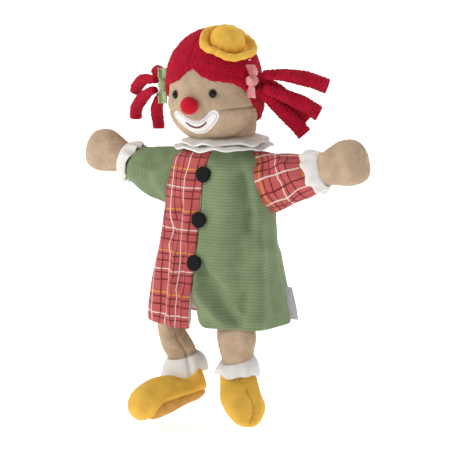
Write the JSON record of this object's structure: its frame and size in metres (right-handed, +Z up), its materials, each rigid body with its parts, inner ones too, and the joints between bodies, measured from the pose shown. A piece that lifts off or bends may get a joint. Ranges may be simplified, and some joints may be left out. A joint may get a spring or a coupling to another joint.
{
  "type": "hand puppet",
  "caption": "Soft clown glove puppet: padded two-colour coat open at the hem for a hand, stuffed head with a finger pocket, mitten arms with finger pockets, hanging legs and soft shoes.",
  "frame": {"origin": "middle of the hand opening, in the plane of the coat's hem", "axes": "+Z up from the hem to the head, -Y the way the puppet faces, +X the puppet's left"},
  "size_m": [0.2882, 0.1152, 0.3634],
  "materials": {
    "black_felt": "matt pressed felt",
    "burgundy_thread": "embroidery thread",
    "cream_lining": "plain woven lining",
    "eye_gloss": "gloss black bead",
    "green_corduroy": "fine ribbed velour, matt",
    "green_dotted_ribbon": "printed cotton ribbon with small dots",
    "grey_label": "satin woven ribbon, blank",
    "mustard_velour": "velour with a soft sheen",
    "pink_ribbon": "felt ribbon with pinked edges",
    "plaid_cotton": "woven cotton check in salmon red, maroon, white and yellow",
    "polyester_fill": "loose fibre filling",
    "red_plush": "short pile plush",
    "red_terry": "looped terry",
    "sole_suede": "brushed suede cloth",
    "tan_plush": "short pile plush",
    "white_cotton": "brushed white jersey"
  },
  "bodies": {
    "coat": {"coat_front_right": "plaid_cotton", "coat_front_left": "green_corduroy", "coat_back_right": "plaid_cotton", "coat_back_left": "green_corduroy", "coat_lining_right": "cream_lining", "coat_lining_left": "cream_lining", "collar_lower_frill": "white_cotton", "collar_upper_frill": "white_cotton", "coat_buttons": "black_felt", "side_label": "grey_label"},
    "neck": {"neck_tube": "tan_plush"},
    "head": {"face_panel": "tan_plush", "head_back_panel": "tan_plush", "hair_cap": "red_terry", "head_stuffing": "polyester_fill", "head_finger_pocket": "cream_lining", "nose": "red_plush", "right_eye": "eye_gloss", "left_eye": "eye_gloss", "mouth_patch": "white_cotton", "mouth_smile_stitching": "burgundy_thread", "hat_brim": "mustard_velour", "hat_crown": "mustard_velour", "hat_stuffing": "polyester_fill"},
    "right_ponytail": {"right_strand_1": "red_terry", "right_strand_2": "red_terry", "right_strand_3": "red_terry", "right_strand_4": "red_terry", "right_bow_loops": "green_dotted_ribbon", "right_bow_knot": "green_dotted_ribbon"},
    "right_arm": {"right_sleeve": "green_corduroy", "right_arm_pocket": "cream_lining"},
    "right_hand": {"right_hand_skin": "tan_plush", "right_hand_stuffing": "polyester_fill", "right_wrist_frill": "white_cotton"},
    "right_leg": {"right_leg_skin": "tan_plush", "right_leg_stuffing": "polyester_fill"},
    "right_foot": {"right_shoe_upper": "mustard_velour", "right_shoe_sole": "sole_suede", "right_shoe_stuffing": "polyester_fill", "right_ankle_frill": "white_cotton"},
    "left_ponytail": {"left_strand_1": "red_terry", "left_strand_2": "red_terry", "left_strand_3": "red_terry", "left_strand_4": "red_terry", "left_bow_loops": "pink_ribbon", "left_bow_knot": "pink_ribbon"},
    "left_arm": {"left_sleeve": "plaid_cotton", "left_arm_pocket": "cream_lining"},
    "left_hand": {"left_hand_skin": "tan_plush", "left_hand_stuffing": "polyester_fill", "left_wrist_frill": "white_cotton"},
    "left_leg": {"left_leg_skin": "tan_plush", "left_leg_stuffing": "polyester_fill"},
    "left_foot": {"left_shoe_upper": "mustard_velour", "left_shoe_sole": "sole_suede", "left_shoe_stuffing": "polyester_fill", "left_ankle_frill": "white_cotton"}
  },
  "joints": [
    {"name": "neck_turn", "type": "hinge", "parent": "coat", "child": "neck", "pos_m": [0, 0, 0.15], "axis": [0, 0, 1], "range_deg": [-40, 40], "stiffness_Nm_per_rad": 0.3},
    {"name": "head_nod", "type": "hinge", "parent": "neck", "child": "head", "pos_m": [0, 0, 0.162], "axis": [1, 0, 0], "range_deg": [-15, 12], "stiffness_Nm_per_rad": 0.5, "deforming": ["collar_lower_frill", "collar_upper_frill", "neck_tube"]},
    {"name": "right_ponytail_swing", "type": "hinge", "parent": "head", "child": "right_ponytail", "pos_m": [-0.052, -0.017, 0.211], "axis": [0.6222, 0.7828, 0], "range_deg": [-8, 15], "stiffness_Nm_per_rad": 0.1},
    {"name": "right_arm_raise", "type": "hinge", "parent": "coat", "child": "right_arm", "pos_m": [-0.047, 0, 0.127], "axis": [0, 1, 0], "range_deg": [-55, 15], "stiffness_Nm_per_rad": 0.4, "deforming": ["right_sleeve"]},
    {"name": "right_wrist_bend", "type": "hinge", "parent": "right_arm", "child": "right_hand", "pos_m": [-0.10218, 0, 0.14127], "axis": [0.2504, 0, 0.9681], "range_deg": [-15, 50], "stiffness_Nm_per_rad": 0.08, "deforming": ["right_wrist_frill"]},
    {"name": "right_leg_swing", "type": "hinge", "parent": "coat", "child": "right_leg", "pos_m": [-0.036, -0.024, 0], "axis": [-1, 0, 0], "range_deg": [-30, 28]},
    {"name": "right_ankle_bend", "type": "hinge", "parent": "right_leg", "child": "right_foot", "pos_m": [-0.0323, -0.01365, -0.03846], "axis": [-0.5329, 0.5346, -0.6559], "range_deg": [-20, 20], "stiffness_Nm_per_rad": 0.08, "deforming": ["right_ankle_frill"]},
    {"name": "left_ponytail_swing", "type": "hinge", "parent": "head", "child": "left_ponytail", "pos_m": [0.047, -0.017, 0.216], "axis": [0.829, -0.5593, 0], "range_deg": [-8, 15], "stiffness_Nm_per_rad": 0.1},
    {"name": "left_arm_raise", "type": "hinge", "parent": "coat", "child": "left_arm", "pos_m": [0.047, 0, 0.127], "axis": [0, -1, 0], "range_deg": [-55, 25], "stiffness_Nm_per_rad": 0.4, "deforming": ["left_sleeve"]},
    {"name": "left_wrist_bend", "type": "hinge", "parent": "left_arm", "child": "left_hand", "pos_m": [0.10218, 0, 0.14127], "axis": [0.2504, 0, -0.9681], "range_deg": [-15, 50], "stiffness_Nm_per_rad": 0.08, "deforming": ["left_wrist_frill"]},
    {"name": "left_leg_swing", "type": "hinge", "parent": "coat", "child": "left_leg", "pos_m": [0.029, -0.024, 0], "axis": [-1, 0, 0], "range_deg": [-30, 28]},
    {"name": "left_ankle_bend", "type": "hinge", "parent": "left_leg", "child": "left_foot", "pos_m": [0.03144, -0.0247, -0.03992], "axis": [-0.5153, -0.7864, 0.3407], "range_deg": [-4, 20], "stiffness_Nm_per_rad": 0.08, "deforming": ["left_ankle_frill"]}
  ]
}
